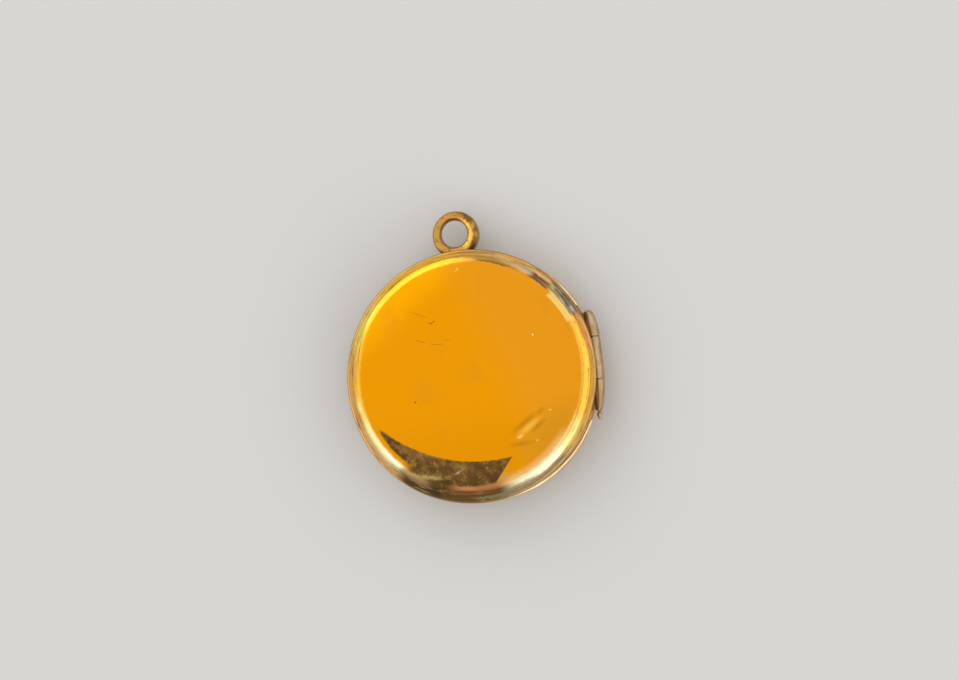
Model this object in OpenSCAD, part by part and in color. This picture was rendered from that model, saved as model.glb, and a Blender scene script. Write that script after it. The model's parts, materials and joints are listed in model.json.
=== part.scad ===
/* [Case] */
// Diameter of the case over its two rim beads
case_d = 25.1; // [24:0.1:27]
// Thickness of the closed case, from the resting face to the top of the cover
case_t = 6.2; // [6:0.1:7]
// Thickness of the sheet metal
wall_t = 0.4; // [0.3:0.05:0.45]
// Rise of each low dome over the full width of the case
dome_rise = 0.5; // [0.4:0.05:0.6]
// Radius of the rounded shoulder between dome and rim
shoulder_r = 1.2; // [1:0.1:1.3]
// How far the back's dome is pressed flat where the case rests
rest_flat = 0.2; // [0.15:0.05:0.3]

/* [Rim] */
// How far each rim bead stands out from the side band
bead_w = 0.4; // [0.35:0.05:0.45]
// Height of each rim bead
bead_h = 0.4; // [0.35:0.05:0.45]
// Distance between the middles of the two rim beads
bead_span = 2.9; // [2.8:0.1:3.1]
// Height of the open seam, half way between the beads
seam_gap = 0.06; // [0.04:0.01:0.1]
// Height of the snap lip above the seam
lip_h = 0.5; // [0.3:0.1:0.6]
// Thickness of the snap lip
lip_t = 0.5; // [0.45:0.05:0.6]
// Gap between the snap lip and the cover's side band
lip_gap = 0.1; // [0.08:0.01:0.14]
// Depth of the seat ring that carries the snap lip
seat_depth = 0.9; // [0.85:0.05:1.1]

/* [Hanging ring] */
// Diameter of the hole in the hanging ring
ring_hole_d = 2.65; // [2.2:0.05:2.8]
// Width of the ring's metal, seen from the front
ring_w = 1.06; // [0.9:0.01:1.2]
// Depth of the ring, front to back
ring_depth = 1.2; // [1:0.05:1.25]
// Rounding of the ring's outer edges
ring_edge_r = 0.35; // [0.2:0.05:0.4]
// How far the ring's hole stays outside the rim beads
ring_stand_off = 0.6; // [0.6:0.05:0.8]
// How far the ring's hole sits to the side of the case's middle, away from the hinge
ring_side = 0.25; // [0:0.05:0.3]
// How far the ring's hole sits off the ring's own middle, where the ring has worn thin
ring_uneven = 0.2; // [0:0.05:0.25]
// Width of the solder at the ring's foot
foot_w = 2.4; // [2:0.1:2.6]

/* [Hinge] */
// Length of the whole hinge
hinge_l = 10.2; // [9.6:0.1:10.8]
// Length of the middle knuckle
mid_knuckle_l = 4.1; // [3.6:0.1:4.6]
// How far the middle knuckle sits off centre, towards the ring
mid_knuckle_shift = 0.15; // [0:0.05:0.3]
// Diameter of the knuckles
knuckle_d = 1.3; // [1.2:0.05:1.3]
// Gap between neighbouring knuckles
knuckle_gap = 0.1; // [0.06:0.02:0.16]
// Gap between a knuckle and the half that it turns against
knuckle_relief = 0.07; // [0.06:0.01:0.1]
// How far the hinge's axis lies inside the edge of the rim beads
hinge_in = 0.13; // [0.1:0.01:0.15]
// How far the filed middle of the hinge stands out beyond the rim beads
hinge_out = 0.55; // [0.5:0.05:0.6]
// Length of the break in the back's rim bead beyond each end of the hinge
notch_end = 0.7; // [0.4:0.1:1]
// Diameter of the hinge pin
pin_d = 0.5; // [0.4:0.05:0.6]

/* [Hidden] */
$fn = 96;
GOLD = [0.86, 0.6, 0.22];
STEEL = [0.6, 0.6, 0.6];
// How far a cut runs past what it cuts
CUT = 1;

// Radii about the case's own axis
bead_r = case_d / 2;
band_r = bead_r - bead_w;
lip_r = band_r - wall_t - lip_gap;
lip_inner_r = lip_r - lip_t;

// Heights above the resting face
seam_z = case_t / 2;
cover_low_z = seam_z + seam_gap / 2;
back_high_z = seam_z - seam_gap / 2;
lip_top_z = seam_z + lip_h;
lip_chamfer = 0.1;

// Height of a bead's inner edge above the seam's edge, the same on both halves
bead_up = bead_span / 2 - bead_h / 2 - seam_gap / 2;

// The hinge's axis runs along Y, in the middle of the seam
hinge_x = bead_r - hinge_in;
hinge_z = seam_z;
knuckle_r = knuckle_d / 2;
relief_r = knuckle_r + knuckle_relief;
hinge_half = hinge_l / 2;
notch_angle = asin((hinge_half + notch_end) / bead_r);
mid_low_y = mid_knuckle_shift - mid_knuckle_l / 2;
mid_high_y = mid_knuckle_shift + mid_knuckle_l / 2;
knuckle_end_r = 0.3;

// The outer side of the hinge is filed round, so that its ends follow the case. The upper knuckle is filed less,
// by the same barrel moved along the hinge.
file_r = bead_r + hinge_out;
file_edge_r = 1.4;
file_upper_y = 1.9;

// The pin is held in the back's knuckles and ends where the filing would reach it, and runs in the cover's
pin_cover_l = 1.4;
pin_end_play = 0.05;
pin_fit = 0.01;
pin_running_fit = 0.03;
pin_r = pin_d / 2;
bore_half = hinge_half - pin_cover_l;
pin_half = bore_half - pin_end_play;
back_bore_r = pin_r + pin_fit;
cover_bore_r = pin_r + pin_running_fit;

// The hanging ring lies in the plane of the case, between the back's bead and the seam
ring_hole_r = ring_hole_d / 2;
ring_r = ring_hole_r + ring_w;
ring_hole_x = -ring_side;
ring_hole_y = bead_r + ring_stand_off + ring_hole_r;
thin_angle = 135;
ring_x = ring_hole_x - ring_uneven * cos(thin_angle);
ring_y = ring_hole_y - ring_uneven * sin(thin_angle);
ring_top_gap = 0.1;
ring_z = seam_z - ring_top_gap - ring_depth;
ring_hole_chamfer = 0.15;
foot_inset = 0.1;

// Radius of the sphere that the dome over the case is part of
function dome_sphere_r() = (band_r * band_r + dome_rise * dome_rise) / (2 * dome_rise);

// Height at which the shoulder's arc is centred, so that it meets both dome and band smoothly
function shoulder_y(top_y) =
    top_y - dome_sphere_r() + sqrt(pow(dome_sphere_r() - shoulder_r, 2) - pow(band_r - shoulder_r, 2));

// Half section of a filled dome, shoulder and side band above the seam, inset by a sheet's thickness.
// The dome is pressed flat by press below the height that it would reach.
module dome_section(top_y, press, inset) {
    sphere_r = dome_sphere_r();
    arc_x = band_r - shoulder_r;
    arc_y = shoulder_y(top_y);
    meet_x = (sphere_r - inset) * arc_x / (sphere_r - shoulder_r);
    flat_y = press > 0 ? top_y - press - inset : top_y + CUT;
    translate([0, -inset]) square([band_r - inset, arc_y + inset]);
    intersection() {
        translate([arc_x, arc_y]) circle(shoulder_r - inset);
        translate([arc_x, 0]) square([shoulder_r, top_y]);
    }
    intersection() {
        translate([0, top_y - sphere_r]) circle(sphere_r - inset);
        translate([0, -inset]) square([meet_x, flat_y + inset]);
    }
}

// Half section of a rim bead with a round nose, at the foot of the shoulder
module bead_section() {
    nose_r = bead_h / 2;
    nose_x = bead_r - nose_r;
    inner_x = band_r - wall_t / 2;
    translate([inner_x, bead_up]) square([nose_x - inner_x, bead_h]);
    translate([nose_x, bead_up + nose_r]) circle(nose_r);
}

// One half of the case, a hollow shell that stands on the seam
module shell(top_y, press) {
    difference() {
        rotate_extrude() dome_section(top_y, press, 0);
        rotate_extrude() dome_section(top_y, press, wall_t);
    }
}

// The rim bead of a half that stands on the seam
module rim_bead() {
    rotate_extrude() bead_section();
}

// The break that is cut in a rim bead to let the hinge in, with its ends square to the bead
module hinge_notch() {
    reach = bead_r + CUT;
    half_w = reach * tan(notch_angle);
    translate([0, 0, bead_up - CUT])
        linear_extrude(bead_h + 2 * CUT) polygon([[0, 0], [reach, -half_w], [reach, half_w]]);
}

// A cylinder along the hinge's axis, from one place along Y to another
module hinge_rod(r, from_y, to_y) {
    translate([hinge_x, from_y, hinge_z])
        rotate([-90, 0, 0]) cylinder(r = r, h = to_y - from_y);
}

// A knuckle whose far end is rounded; it ends far_l beyond the flat end, along +Z
module round_ended_rod(far_l) {
    rotate_extrude() {
        square([knuckle_r, far_l - knuckle_end_r]);
        square([knuckle_r - knuckle_end_r, far_l]);
        translate([knuckle_r - knuckle_end_r, far_l - knuckle_end_r]) circle(knuckle_end_r);
    }
}

// The space inside the barrel shape that the hinge's outer side is filed to, with its middle at a place along Y
module filed_space(middle_y) {
    edge_x = file_r - file_edge_r;
    translate([0, middle_y, hinge_z])
        rotate_extrude() {
            translate([edge_x, 0]) circle(file_edge_r);
            translate([edge_x - knuckle_d, -file_edge_r]) square([knuckle_d, 2 * file_edge_r]);
        }
}

// An outer knuckle, from its flat inner end to the hinge's rounded end; side is 1 or -1 along Y
module outer_knuckle(inner_y, side) {
    intersection() {
        translate([hinge_x, inner_y, hinge_z])
            rotate([-90 * side, 0, 0]) round_ended_rod(hinge_half - abs(inner_y));
        filed_space(side > 0 ? file_upper_y : 0);
    }
}

// The seat ring inside the back's side band, with the snap lip that stands up inside the cover
module snap_lip() {
    seat_z = seam_z - seat_depth;
    outer_r = band_r - wall_t / 2;
    rotate_extrude()
        polygon([
            [lip_inner_r, seat_z],
            [outer_r, seat_z],
            [outer_r, back_high_z],
            [lip_r, back_high_z],
            [lip_r, lip_top_z - lip_chamfer],
            [lip_r - lip_chamfer, lip_top_z],
            [lip_inner_r, lip_top_z],
        ]);
}

// The solder that joins the hanging ring to the side band
module ring_foot() {
    inner_y = band_r - wall_t / 2;
    translate([ring_x - foot_w / 2, inner_y, ring_z + foot_inset])
        cube([foot_w, bead_r - inner_y, ring_depth - 2 * foot_inset]);
}

// The hole through the hanging ring, chamfered at both ends
module ring_hole() {
    translate([ring_hole_x, ring_hole_y, ring_z]) {
        translate([0, 0, -CUT]) cylinder(r = ring_hole_r, h = ring_depth + 2 * CUT);
        for (up = [0, 1])
            translate([0, 0, up * ring_depth])
                mirror([0, 0, up])
                    translate([0, 0, -ring_hole_chamfer])
                        cylinder(
                            r1 = ring_hole_r + 2 * ring_hole_chamfer,
                            r2 = ring_hole_r,
                            h = 2 * ring_hole_chamfer
                        );
    }
}

// The hanging ring, with rounded outer edges and its hole off its middle
module hanging_ring() {
    difference() {
        translate([ring_x, ring_y, ring_z])
            rotate_extrude() {
                square([ring_r - ring_edge_r, ring_depth]);
                translate([0, ring_edge_r]) square([ring_r, ring_depth - 2 * ring_edge_r]);
                translate([ring_r - ring_edge_r, ring_edge_r]) circle(ring_edge_r);
                translate([ring_r - ring_edge_r, ring_depth - ring_edge_r]) circle(ring_edge_r);
            }
        ring_hole();
    }
}

module back_case() {
    color(GOLD)
        difference() {
            union() {
                difference() {
                    union() {
                        translate([0, 0, back_high_z])
                            mirror([0, 0, 1]) {
                                shell(back_high_z + rest_flat, rest_flat);
                                difference() {
                                    rim_bead();
                                    hinge_notch();
                                }
                            }
                        snap_lip();
                    }
                    hinge_rod(relief_r, mid_low_y - knuckle_gap, mid_high_y + knuckle_gap);
                }
                ring_foot();
                hanging_ring();
                outer_knuckle(mid_high_y + knuckle_gap, 1);
                outer_knuckle(mid_low_y - knuckle_gap, -1);
            }
            hinge_rod(back_bore_r, -bore_half, bore_half);
        }
}

module front_cover() {
    color(GOLD)
        difference() {
            union() {
                difference() {
                    translate([0, 0, cover_low_z]) {
                        shell(case_t - cover_low_z, 0);
                        rim_bead();
                    }
                    hinge_rod(relief_r, mid_high_y, hinge_half + CUT);
                    hinge_rod(relief_r, -hinge_half - CUT, mid_low_y);
                }
                hinge_rod(knuckle_r, mid_low_y, mid_high_y);
            }
            hinge_rod(cover_bore_r, mid_low_y - CUT, mid_high_y + CUT);
        }
}

module hinge_pin() {
    color(STEEL) hinge_rod(pin_r, -pin_half, pin_half);
}

back_case();
front_cover();
hinge_pin();
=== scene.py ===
"""A worn round locket in gold-filled metal, lying closed on a pale table.

Shapes are in millimetres until finish_piece hands them to the frame.
"""

import json
import math

import bmesh
import bpy
from mathutils import Matrix, Vector, noise


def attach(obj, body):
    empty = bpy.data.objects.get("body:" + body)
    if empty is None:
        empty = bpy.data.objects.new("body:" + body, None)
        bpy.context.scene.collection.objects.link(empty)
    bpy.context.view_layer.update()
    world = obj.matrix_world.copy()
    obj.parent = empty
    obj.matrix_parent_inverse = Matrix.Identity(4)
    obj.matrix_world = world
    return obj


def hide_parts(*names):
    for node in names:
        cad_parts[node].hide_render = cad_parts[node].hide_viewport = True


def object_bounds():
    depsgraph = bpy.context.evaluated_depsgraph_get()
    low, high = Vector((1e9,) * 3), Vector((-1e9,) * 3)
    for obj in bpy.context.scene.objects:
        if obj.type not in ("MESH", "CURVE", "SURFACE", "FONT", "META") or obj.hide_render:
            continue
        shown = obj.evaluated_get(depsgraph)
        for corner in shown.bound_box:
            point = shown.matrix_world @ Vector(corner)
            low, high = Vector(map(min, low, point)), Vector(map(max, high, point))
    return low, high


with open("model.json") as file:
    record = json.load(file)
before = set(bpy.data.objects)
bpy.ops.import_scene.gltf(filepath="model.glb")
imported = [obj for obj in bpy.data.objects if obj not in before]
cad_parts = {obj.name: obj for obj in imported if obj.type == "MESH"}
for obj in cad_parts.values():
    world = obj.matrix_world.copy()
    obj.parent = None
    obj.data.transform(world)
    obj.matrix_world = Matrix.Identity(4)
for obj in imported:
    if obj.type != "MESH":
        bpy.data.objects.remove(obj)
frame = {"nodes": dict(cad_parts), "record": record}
cad_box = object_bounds()

MM = 0.001

# How far the object is turned in the picture, in degrees
TURN = 7.3

# The case
CASE_T = cad_box[1].z / MM
BEAD_R = 12.55
BEAD_W = 0.4
BEAD_H = 0.4
BEAD_SPAN = 2.9
BAND_R = BEAD_R - BEAD_W
WALL_T = 0.4
DOME_RISE = 0.5
DOME_R = (BAND_R**2 + DOME_RISE**2) / (2 * DOME_RISE)
SHOULDER_R = 2.0
SHOULDER_X = 10.58
SHOULDER_END_R = 12.33
FADE_H = 1.0
REST_FLAT = 0.2
EDGE_R = 0.05
LEDGE_W = 0.02
SEAM_Z = CASE_T / 2
SEAM_GAP = 0.06
BEAD_UP = (BEAD_SPAN - BEAD_H - SEAM_GAP) / 2

# The snap lip inside the seam
LIP_R = BAND_R - WALL_T - 0.1
LIP_T = 0.5
LIP_H = 0.5
LIP_CHAMFER = 0.1
SEAT_DEPTH = 0.9

# The hinge, along Y in the middle of the seam
hinge_joint = frame["record"]["behaviour"]["joints"][0]
HINGE_X = hinge_joint["pos_m"][0] / MM
KNUCKLE_R = 0.65
RELIEF_R = KNUCKLE_R + 0.07
RELIEF_PAST = 1.0
KNUCKLE_GAP = 0.1
KNUCKLE_EDGE_R = 0.05
KNUCKLE_END_R = 0.45
KNUCKLE_SQUARENESS = 3.0
MOST_SQUARING = 2
LEAST_ROUND = 1e-4
HINGE_HALF = 5.1
UPPER_END_Y = 4.95
MID_LOW_Y = -1.9
MID_HIGH_Y = 2.2

# The circle that the hinge's outer side is filed to. The side falls in along it above FILED_UPPER_Y and
# below 0, where each millimetre counts this many times.
FILED_R = 13.1
FILED_UPPER_Y = 1.9
FILED_UPPER = 1.2
FILED_LOWER = 0.85

# The notch beside the hinge in the back's rim bead
NOTCH_HALF = 5.8
NOTCH_TRACE = 0.02
NOTCH_REACH = 1.0
NOTCH_BELOW = 0.1
NOTCH_TOP_Z = SEAM_Z - 0.3

# The solder that holds the back's knuckles. Its ends along Y are these parts of the knuckles' own Y.
WEB_SUNK = 0.15
WEB_IN = 0.3
WEB_LOW_Z = SEAM_Z - 0.55
WEB_HIGH_Z = SEAM_Z - 0.06
WEB_INNER_END = 1.04
WEB_OUTER_END = 0.97

# The solder over the cover's knuckle
MID_SOLDER_R = 0.13
MID_SOLDER_SHORT = 0.15
MID_SOLDER_X = BAND_R + 0.02
MID_SOLDER_Z = SEAM_Z + KNUCKLE_R - 0.05

# The nub below the lower knuckle: its middle, then half its size each way
NUB = (12.05, -5.45, SEAM_Z - 0.05, 0.25, 0.42, 0.25)

# The hanging ring, whose hole is off its middle
RING_HOLE_R = 1.325
RING_R = 2.385
RING_DEPTH = 1.2
RING_MID_Z = 2.4
RING_HOLE = Vector((-0.25, 14.475, RING_MID_Z))
RING_MIDDLE = Vector((-0.109, 14.334, RING_MID_Z))
RING_SQUARENESS = 2.5

# Worn flats on the ring: direction, tilt off its plane, and distance from its middle
FLAT_COLUMNS = ("angle", "tilt", "distance")
RING_FLATS = (
    (52, 24, 2.24),
    (24, 30, 2.21),
    (-4, 24, 2.25),
    (-34, 28, 2.22),
    (8, 52, 1.98),
    (40, 55, 1.93),
    (-24, 50, 1.97),
    (110, 40, 2.18),
    (205, 35, 2.22),
)

# The solder under the ring: a slab, and lumps by their middle and then half their size each way
FOOT_CORNERS = ((-1.35, 11.95), (1.2, 11.95), (1.05, 12.8), (-1.2, 12.8))
FOOT_LOW_Z = RING_MID_Z - 0.5
FOOT_HIGH_Z = RING_MID_Z + 0.45
FOOT_LUMPS = (
    (-1.36, 12.4, RING_MID_Z, 0.34, 0.42, 0.46),
    (1.18, 12.45, RING_MID_Z, 0.26, 0.38, 0.44),
)

# How fine the meshes are
TURN_STEPS = 384
FACE_STEPS = 72
SHOULDER_STEPS = 20
NOSE_STEPS = 8
ROD_STEPS = 72
SOLDER_STEPS = 24
NOTCH_STEPS = 48
WEB_STEPS = 16
RING_TURN_STEPS = 180
RING_SECTION_STEPS = 48
KNUCKLE_END_STEPS = 8
KNUCKLE_LENGTHS = 24
LUMP_SUBDIVISIONS = 4
SHARP_DEGREES = 30

# How parts are fused: the size of the voxels, and how often the surface is eased and by how much
RING_VOXEL = 0.035
KNUCKLE_VOXEL = 0.028
RING_ROUNDS = 4
KNUCKLE_ROUNDS = 3
EASE_FACTOR = 0.5


def named_rows(columns, table):
    """The rows of a table, each as a dict by the names of its columns."""
    return [dict(zip(columns, row)) for row in table]


def link(name, data):
    """A new object of a mesh, light or camera, in the scene."""
    made = bpy.data.objects.new(name, data)
    bpy.context.scene.collection.objects.link(made)
    return made


def from_bmesh(name, bm):
    """A new object from a bmesh, with all its faces turned outwards."""
    bmesh.ops.recalc_face_normals(bm, faces=bm.faces)
    mesh = bpy.data.meshes.new(name)
    bm.to_mesh(mesh)
    bm.free()
    return link(name, mesh)


def apply_modifiers(piece):
    """Puts what the modifiers make into the piece's own mesh."""
    bpy.context.view_layer.update()
    made = piece.evaluated_get(bpy.context.evaluated_depsgraph_get())
    mesh = bpy.data.meshes.new_from_object(made)
    piece.modifiers.clear()
    piece.data = mesh


def cut(piece, cutter):
    """Takes the cutter's shape out of a piece, and the cutter out of the scene."""
    step = piece.modifiers.new("cut", "BOOLEAN")
    step.operation = "DIFFERENCE"
    step.solver = "EXACT"
    step.object = cutter
    apply_modifiers(piece)
    bpy.data.objects.remove(cutter)


def turned(name, line, steps=TURN_STEPS):
    """A closed mesh turned about Z from a line of (radius, height) that starts and ends on the axis."""
    bm = bmesh.new()
    first = bm.verts.new((0, 0, line[0][1]))
    last = bm.verts.new((0, 0, line[-1][1]))
    turns = [2 * math.pi * i / steps for i in range(steps)]
    rings = [[bm.verts.new((r * math.cos(a), r * math.sin(a), z)) for a in turns] for r, z in line[1:-1]]
    for i in range(steps):
        j = (i + 1) % steps
        bm.faces.new((first, rings[0][i], rings[0][j]))
        bm.faces.new((last, rings[-1][j], rings[-1][i]))
        for a, b in zip(rings, rings[1:]):
            bm.faces.new((a[i], b[i], b[j], a[j]))
    return from_bmesh(name, bm)


def along_hinge(name, line, x=HINGE_X, z=SEAM_Z, steps=ROD_STEPS):
    """A closed mesh turned from a line of (radius, y) about an axis along Y, the hinge's by default."""
    piece = turned(name, line, steps)
    place = Vector((x, 0, z))
    for v in piece.data.vertices:
        across, down, along = v.co
        v.co = place + Vector((across, along, -down))
    return piece


def rod(radius, low_y, high_y, **place):
    """A plain rod along Y, used as a cutter or a filler."""
    return along_hinge("rod", [(0, low_y), (radius, low_y), (radius, high_y), (0, high_y)], **place)


def loft(name, rows, closed=False):
    """A mesh through rows of places, each row an outline. A closed one runs on into its first row."""
    bm = bmesh.new()
    rows = [[bm.verts.new(place) for place in row] for row in rows]
    following = rows[1:] + rows[:1] if closed else rows[1:]
    for a, b in zip(rows, following):
        for i in range(len(a)):
            j = (i + 1) % len(a)
            bm.faces.new((a[i], a[j], b[j], b[i]))
    if not closed:
        bm.faces.new(rows[0])
        bm.faces.new(rows[-1])
    return from_bmesh(name, bm)


# Section lines of the two halves. They stand on the seam at height 0 and their dome is at the top.


def dome_z(r, top, inset):
    """Height of the dome at radius r, or of the sheet's inner side with inset set to its thickness."""
    return top - DOME_R + math.sqrt((DOME_R - inset) ** 2 - r**2)


def face_line(top, inset, press, steps):
    """The dome from the axis to where the shoulder starts, pressed flat at its middle."""
    end = (DOME_R - inset) * SHOULDER_X / (DOME_R - SHOULDER_R)
    radii = [end * i / steps for i in range(steps)]
    return [(r, min(dome_z(r, top, inset), top - press - inset)) for r in radii]


def shoulder_line(top, inset, end_r, steps):
    """The shoulder's arc, from the dome down to where it reaches a radius."""
    z = top - DOME_R + math.sqrt((DOME_R - SHOULDER_R) ** 2 - SHOULDER_X**2)
    r = SHOULDER_R - inset
    start = math.acos(SHOULDER_X / (DOME_R - SHOULDER_R))
    end = math.acos((end_r - SHOULDER_X) / r)
    angles = [start + (end - start) * i / steps for i in range(steps + 1)]
    return [(SHOULDER_X + r * math.cos(a), z + r * math.sin(a)) for a in angles]


def bead_line():
    """Over the rim bead, from its ledge round its nose to the band below it."""
    nose = BEAD_H / 2
    line = [(SHOULDER_END_R + LEDGE_W, BEAD_UP + BEAD_H)]
    for i in range(NOSE_STEPS + 1):
        a = math.pi * (0.5 - i / NOSE_STEPS)
        line.append((BEAD_R - nose + nose * math.cos(a), BEAD_UP + nose + nose * math.sin(a)))
    return line + [(BAND_R + EDGE_R, BEAD_UP), (BAND_R, BEAD_UP - EDGE_R)]


def outer_line(top, press):
    """The outside of a half, from the axis to the seam's edge."""
    shoulder = shoulder_line(top, 0, SHOULDER_END_R, SHOULDER_STEPS)
    seam_edge = [(BAND_R, EDGE_R), (BAND_R - EDGE_R, 0)]
    return face_line(top, 0, press, FACE_STEPS) + shoulder + bead_line() + seam_edge


def inner_line(top, press):
    """The inside of a half, from the axis to the band."""
    shoulder = shoulder_line(top, WALL_T, BAND_R - WALL_T, SHOULDER_STEPS // 2)
    return face_line(top, WALL_T, press, FACE_STEPS // 2) + shoulder


def lip_line():
    """The snap lip and its seat, from the seam's edge round to the inside of the band."""
    lip_up = -(LIP_H + SEAM_GAP / 2)
    seat = SEAT_DEPTH - SEAM_GAP / 2
    return [
        (LIP_R, 0),
        (LIP_R, lip_up + LIP_CHAMFER),
        (LIP_R - LIP_CHAMFER, lip_up),
        (LIP_R - LIP_T + EDGE_R, lip_up),
        (LIP_R - LIP_T, lip_up + EDGE_R),
        (LIP_R - LIP_T, seat),
        (BAND_R - WALL_T, seat),
    ]


# Dents, each a soft oval hollow
DENT_COLUMNS = ("x", "y", "angle", "half_length", "half_width", "depth")
COVER_DENTS = (
    (5.4, -5.8, 33, 2.2, 0.75, 0.03),
    (4.5, -6.6, 20, 0.7, 0.4, 0.012),
    (-2.94, 5.66, 20, 0.3, 0.14, 0.03),
    (-3.4, 6.3, -25, 0.7, 0.3, 0.006),
    (-5.54, -1.94, 60, 0.16, 0.12, 0.015),
    (6.92, 3.08, 80, 0.14, 0.1, 0.015),
    (0.21, 10.49, 40, 0.3, 0.15, 0.012),
)
BACK_DENTS = (
    (-4.2, 3.1, 40, 0.9, 0.4, 0.02),
    (6.4, -4.0, -30, 0.5, 0.35, 0.02),
    (8.9, 4.6, 60, 0.8, 0.3, 0.03),
)


def dent_depth(x, y, dents):
    """How deep the metal is pushed in at a place."""
    depth = 0
    for dent in dents:
        a = math.radians(dent["angle"])
        dx = x - dent["x"]
        dy = y - dent["y"]
        u = (dx * math.cos(a) + dy * math.sin(a)) / dent["half_length"]
        v = (dy * math.cos(a) - dx * math.sin(a)) / dent["half_width"]
        depth += dent["depth"] * math.exp(-(u * u) - v * v)
    return depth


# Slow swells that keep a pressed sheet from being perfectly true
SWELL_SIZE = 4.0
SWELL_DEPTH = 0.004


def wear_sheet(piece, table, side):
    """Dents a half of the case and swells its sheet a little. side is 1 on the cover and -1 on the back."""
    dents = named_rows(DENT_COLUMNS, table)
    edge = SEAM_Z + BEAD_UP + BEAD_H + EDGE_R
    for v in piece.data.vertices:
        x, y, z = v.co
        up = SEAM_Z + side * (z - SEAM_Z)
        part = min(max((up - edge) / FADE_H, 0), 1)
        swell = SWELL_DEPTH * noise.noise(Vector((x, y, side)) / SWELL_SIZE)
        v.co.z -= side * part * (dent_depth(x, y, dents) - swell)


def cover_shell():
    """The front half: dome, shoulder, rim bead and side band, cut clear of the back's knuckles."""
    base = SEAM_Z + SEAM_GAP / 2
    top = CASE_T - base
    piece = turned("cover_shell", outer_line(top, 0) + inner_line(top, 0)[::-1])
    for v in piece.data.vertices:
        v.co.z += base
    cut(piece, rod(RELIEF_R, MID_HIGH_Y, HINGE_HALF + RELIEF_PAST))
    cut(piece, rod(RELIEF_R, -HINGE_HALF - RELIEF_PAST, MID_LOW_Y))
    wear_sheet(piece, COVER_DENTS, 1)
    return piece


def notch_cutter():
    """A block that takes the back's rim bead away beside the hinge, down to a trace on the band."""
    half_angle = math.asin(NOTCH_HALF / BEAD_R)
    inner_r = BAND_R + NOTCH_TRACE
    outer_r = BEAD_R + NOTCH_REACH
    low = SEAM_Z - SEAM_GAP / 2 - BEAD_UP - BEAD_H - NOTCH_BELOW
    corners = ((inner_r, low), (outer_r, low), (outer_r, NOTCH_TOP_Z), (inner_r, NOTCH_TOP_Z))
    rows = []
    for i in range(NOTCH_STEPS + 1):
        a = half_angle * (2 * i / NOTCH_STEPS - 1)
        rows.append([(r * math.cos(a), r * math.sin(a), z) for r, z in corners])
    return loft("notch", rows)


def back_shell():
    """The back half with its snap lip, cut clear of the cover's knuckle."""
    base = SEAM_Z - SEAM_GAP / 2
    top = base + REST_FLAT
    line = outer_line(top, REST_FLAT) + lip_line() + inner_line(top, REST_FLAT)[::-1]
    piece = turned("back_shell", line)
    for v in piece.data.vertices:
        v.co.z = base - v.co.z
    piece.data.flip_normals()
    cut(piece, rod(RELIEF_R, MID_LOW_Y - KNUCKLE_GAP, MID_HIGH_Y + KNUCKLE_GAP))
    cut(piece, notch_cutter())
    wear_sheet(piece, BACK_DENTS, -1)
    return piece


def fused(name, parts, voxel, rounds):
    """One solid of overlapping parts, its corners filled and eased as solder and wear do."""
    bm = bmesh.new()
    for part in parts:
        bm.from_mesh(part.data)
        bpy.data.objects.remove(part)
    piece = from_bmesh(name, bm)
    remesh = piece.modifiers.new("remesh", "REMESH")
    remesh.mode = "VOXEL"
    remesh.voxel_size = voxel
    ease = piece.modifiers.new("ease", "SMOOTH")
    ease.factor = EASE_FACTOR
    ease.iterations = rounds
    apply_modifiers(piece)
    return piece


def lump(x, y, z, half_x, half_y, half_z):
    """A small rounded lump of solder."""
    bm = bmesh.new()
    place = Matrix.Translation((x, y, z)) @ Matrix.Diagonal((half_x, half_y, half_z, 1))
    bmesh.ops.create_icosphere(bm, subdivisions=LUMP_SUBDIVISIONS, radius=1, matrix=place)
    return from_bmesh("lump", bm)


def ring_outer_r(direction):
    """How far the ring's edge is from the middle of its hole in a direction."""
    offset = RING_MIDDLE - RING_HOLE
    along = offset.dot(direction)
    return along + math.sqrt(RING_R**2 - offset.length_squared + along**2)


def flat_planes():
    """The ring's worn flats, each as a unit vector out from the ring's middle and a distance along it."""
    planes = []
    for flat in named_rows(FLAT_COLUMNS, RING_FLATS):
        a = math.radians(flat["angle"])
        t = math.radians(flat["tilt"])
        outwards = Vector((math.cos(a) * math.cos(t), math.sin(a) * math.cos(t), math.sin(t)))
        planes.append((outwards, flat["distance"]))
    return planes


def squared(wave):
    """A sine or cosine pushed towards 1 and -1, which makes a round section softly square."""
    return math.copysign(abs(wave) ** (2 / RING_SQUARENESS), wave)


def ring_band():
    """The ring itself: a softly squared band with worn flats, thinner on its upper left."""
    planes = flat_planes()
    rings = []
    for i in range(RING_TURN_STEPS):
        a = 2 * math.pi * i / RING_TURN_STEPS
        direction = Vector((math.cos(a), math.sin(a), 0))
        half_w = (ring_outer_r(direction) - RING_HOLE_R) / 2
        ring = []
        for j in range(RING_SECTION_STEPS):
            b = 2 * math.pi * j / RING_SECTION_STEPS
            reach = RING_HOLE_R + half_w * (1 + squared(math.cos(b)))
            up = Vector((0, 0, RING_DEPTH / 2 * squared(math.sin(b))))
            p = RING_HOLE - RING_MIDDLE + direction * reach + up
            for outwards, distance in planes:
                p -= outwards * max(p.dot(outwards) - distance, 0)
            ring.append(RING_MIDDLE + p)
        rings.append(ring)
    return loft("ring_band", rings, closed=True)


def ring_foot():
    """The solder under the ring, from the side band out to the ring's lower limbs."""
    slab = loft("slab", [[(x, y, z) for x, y in FOOT_CORNERS] for z in (FOOT_LOW_Z, FOOT_HIGH_Z)])
    return [slab] + [lump(*row) for row in FOOT_LUMPS]


def hanging_ring():
    """The ring and its solder, as one piece."""
    return fused("hanging_ring", [ring_band()] + ring_foot(), RING_VOXEL, RING_ROUNDS)


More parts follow.
